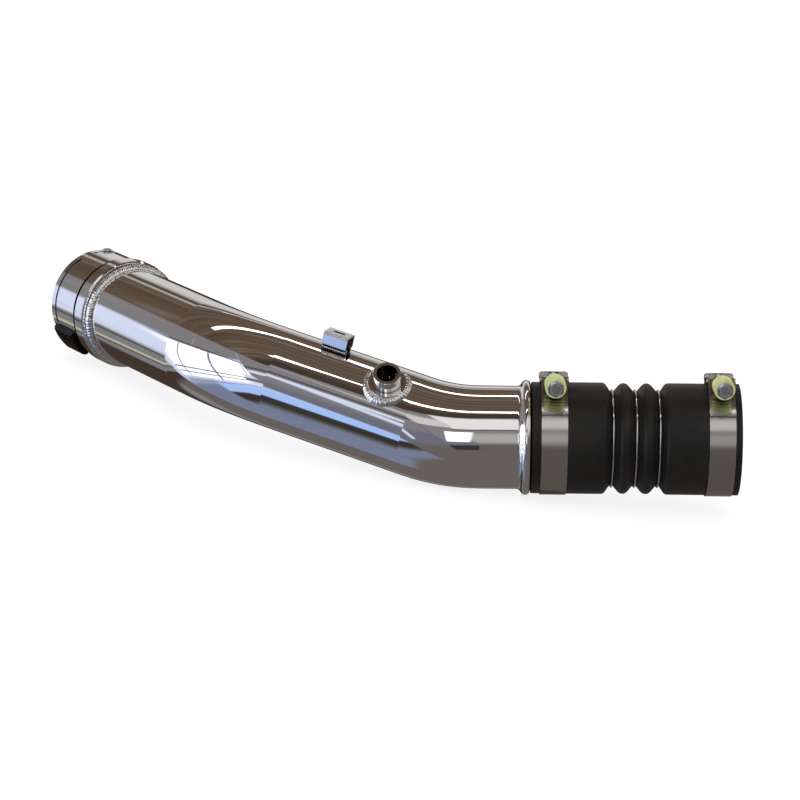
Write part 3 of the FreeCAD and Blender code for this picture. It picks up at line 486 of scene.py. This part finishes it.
def room():
    """The world: plain white light for the camera and for dull surfaces, the room for mirrors."""
    world = bpy.data.worlds.new("room")
    bpy.context.scene.world = world
    world.use_nodes = True
    tree = Tree(world.node_tree)
    direction = tree.node("ShaderNodeTexCoord").outputs["Generated"]
    up = tree.dot(direction, ROOM_UP)
    east = tree.dot(direction, ROOM_EAST)
    north = tree.dot(direction, ROOM_NORTH)
    in_degrees = 180 / math.pi
    elevation = tree.math("MULTIPLY", tree.math("ARCSINE", up), in_degrees)
    south = tree.math("MULTIPLY", north, -1.0)
    azimuth = tree.math("MULTIPLY", tree.math("ARCTAN2", east, south), in_degrees)
    colour = room_walls(tree, azimuth, elevation)
    colour = windows(tree, colour, up, east, north)
    colour = small_things(tree, colour, azimuth, elevation)
    colour = ceiling(tree, colour, up, east, north)

    rays = tree.node("ShaderNodeLightPath")
    seen = tree.node("ShaderNodeBackground")
    seen.inputs[0].default_value = (1, 1, 1, 1)
    mirrored = tree.node("ShaderNodeBackground")
    tree.link(colour, mirrored.inputs[0])
    choose = tree.node("ShaderNodeMixShader")
    tree.link(rays.outputs["Is Glossy Ray"], choose.inputs[0])
    tree.link(seen.outputs[0], choose.inputs[1])
    tree.link(mirrored.outputs[0], choose.inputs[2])
    output = tree.node("ShaderNodeOutputWorld")
    tree.link(choose.outputs[0], output.inputs[0])


# Floor, light and camera
FLOOR_HALF = 12.0
FLOOR_GREY = (0.22, 0.22, 0.22, 1)
FLOOR_GLOW = 0.84
LENS = 135.0
SENSOR = 36.0
FARTHEST = 60.0


def floor():
    """A pale floor right under the pipe, which no mirror shows."""
    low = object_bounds()[0][2]
    mesh = bpy.data.meshes.new("floor")
    half = FLOOR_HALF
    corners = [(-half, -half, low), (half, -half, low), (half, half, low), (-half, half, low)]
    mesh.from_pydata(corners, [], [(0, 1, 2, 3)])
    piece = bpy.data.objects.new("floor", mesh)
    bpy.context.scene.collection.objects.link(piece)
    item, _, shader = material("floor")
    shader.inputs["Base Color"].default_value = FLOOR_GREY
    shader.inputs["Roughness"].default_value = 1.0
    shader.inputs["Specular IOR Level"].default_value = 0.0
    shader.inputs["Emission Color"].default_value = (1, 1, 1, 1)
    shader.inputs["Emission Strength"].default_value = FLOOR_GLOW
    mesh.materials.append(item)
    piece.visible_glossy = False
    piece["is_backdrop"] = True


def area_light(name, place, target, width, depth, power):
    data = bpy.data.lights.new(name, "AREA")
    data.shape = "RECTANGLE"
    data.size, data.size_y = width, depth
    data.energy = power
    piece = bpy.data.objects.new(name, data)
    bpy.context.scene.collection.objects.link(piece)
    piece.location = place
    piece.rotation_euler = (Vector(target) - Vector(place)).to_track_quat("-Z", "Y").to_euler()
    piece.visible_glossy = False


# The camera's place and turn; it is turned a little about its own axis, because the hose end lies raised
CAMERA_MATRIX = (
    (0.994218, -0.106195, -0.015925, -0.285844),
    (0.016398, 0.296701, -0.954830, -2.107948),
    (0.106123, 0.949047, 0.296727, 0.657904),
    (0.000000, 0.000000, 0.000000, 1.000000),
)


def camera():
    """A long lens at the angle of the photograph."""
    data = bpy.data.cameras.new("camera")
    data.lens = LENS
    data.sensor_width = SENSOR
    data.clip_end = FARTHEST
    piece = bpy.data.objects.new("camera", data)
    bpy.context.scene.collection.objects.link(piece)
    piece.matrix_world = Matrix(CAMERA_MATRIX)
    bpy.context.scene.camera = piece


room()
floor()
area_light("key", (-0.6, -1.6, 1.8), (-0.2, 0, 0), 1.6, 0.8, 12)
camera()
bpy.context.scene.view_settings.view_transform = "Standard"
